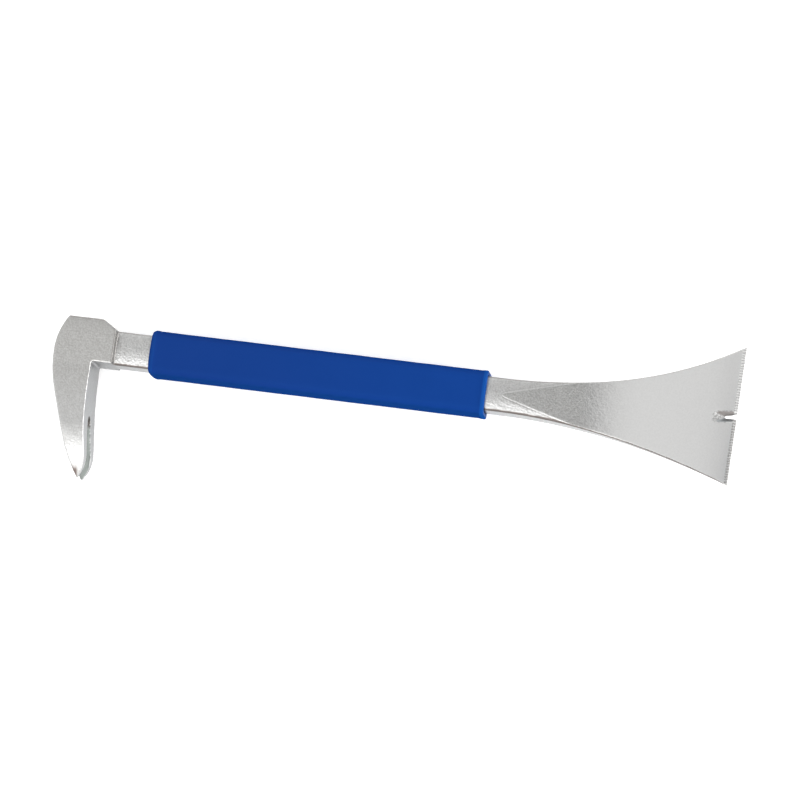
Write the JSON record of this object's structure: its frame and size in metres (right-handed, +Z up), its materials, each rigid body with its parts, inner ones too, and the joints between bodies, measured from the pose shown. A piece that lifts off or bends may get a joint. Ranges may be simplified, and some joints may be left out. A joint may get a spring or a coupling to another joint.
{
  "type": "pry bar",
  "caption": "Flat-bladed pry bar for mouldings, with a wide curled blade, a nail claw set square to it, a striking head and a blue vinyl grip sleeve.",
  "frame": {"origin": "under the middle of the bounding box, level with the side of the claw that the bar rests on when it lies on its side", "axes": "+X from the back of the claw to the blade's edge, along the shank; +Y across the shank, away from the claw's tips and out of the striking face; +Z up through the thickness, towards the hollow side of the blade"},
  "size_m": [0.25, 0.074, 0.035],
  "materials": {
    "forged_steel": "satin, blast cleaned, with a finer ground blade",
    "blue_vinyl": "soft satin, finely pebbled",
    "bonding_film": "dull cured film, out of sight"
  },
  "bodies": {
    "root": {"forged_bar": "forged_steel", "grip_sleeve": "blue_vinyl", "bond_layer": "bonding_film"}
  },
  "joints": []
}
